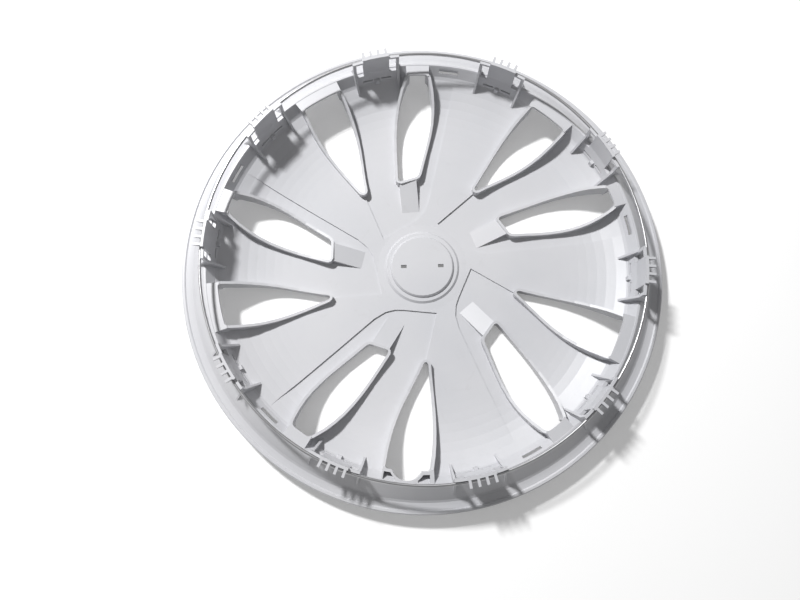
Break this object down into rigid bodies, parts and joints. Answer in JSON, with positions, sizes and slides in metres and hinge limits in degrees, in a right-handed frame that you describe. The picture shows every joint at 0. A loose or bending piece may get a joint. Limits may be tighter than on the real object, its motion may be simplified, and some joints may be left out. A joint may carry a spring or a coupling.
{
  "type": "wheel cover",
  "caption": "Round moulded wheel cover with swept windows and a ring of toothed clips held by a spring wire, lying on its face.",
  "frame": {"origin": "centre of the cover, on the plane that its foremost ring rests on", "axes": "+Z along the wheel axis, from the outer face towards the clips; the valve notch lies near -Y"},
  "size_m": [0.4, 0.4, 0.0516],
  "materials": {
    "moulding": "satin silver-grey moulded plastic",
    "spring_wire": "plain drawn steel wire, slightly dull"
  },
  "bodies": {
    "root": {"cover": "moulding", "tension_wire": "spring_wire"}
  },
  "joints": []
}
